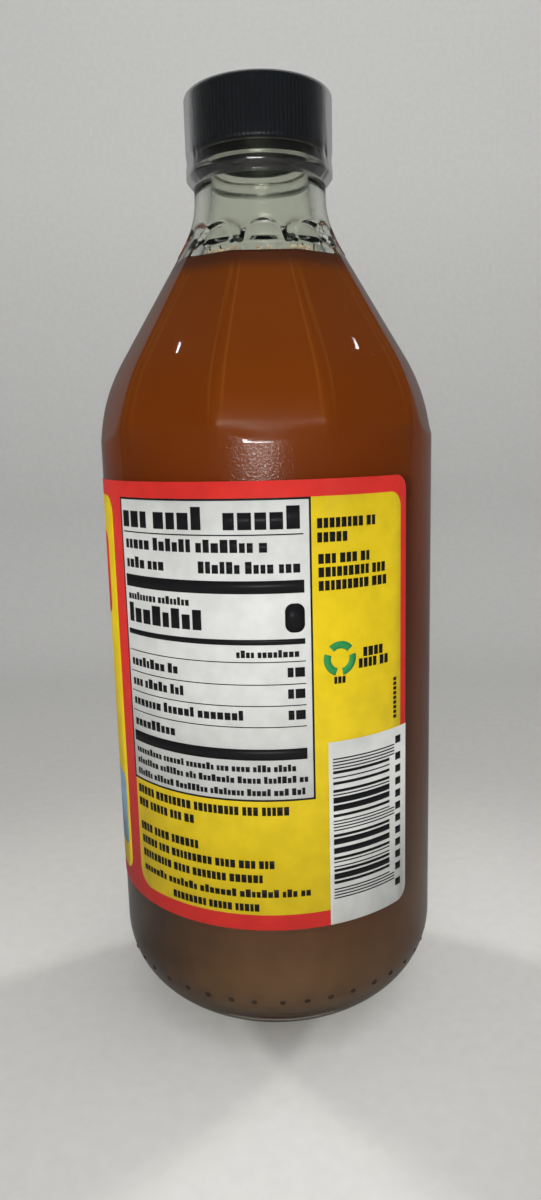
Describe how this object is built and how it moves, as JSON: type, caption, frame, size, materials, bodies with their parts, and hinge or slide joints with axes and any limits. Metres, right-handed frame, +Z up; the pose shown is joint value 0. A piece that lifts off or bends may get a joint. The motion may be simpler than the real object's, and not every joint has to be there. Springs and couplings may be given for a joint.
{
  "type": "vinegar bottle",
  "caption": "Filled glass vinegar bottle with a fluted conical shoulder, short neck, black screw cap, clear shrink band and a red and yellow wrap label.",
  "frame": {"origin": "centre of the bottle's base, on the surface it stands on", "axes": "+Z up along the bottle's axis; the label's text side faces -Y"},
  "size_m": [0.0733, 0.0734, 0.1989],
  "materials": {
    "glass_bottle": "clear flint glass, smooth, slightly grey-green",
    "vinegar": "cloudy amber-brown liquid",
    "cap": "black moulded plastic, smooth",
    "shrink_band": "clear thin shrink film",
    "label": "semi-gloss printed paper, yellow fields with red borders and white boxes"
  },
  "bodies": {
    "root": {"glass_bottle": "glass_bottle", "vinegar": "vinegar", "cap": "cap", "shrink_band": "shrink_band", "label": "label"}
  },
  "joints": []
}
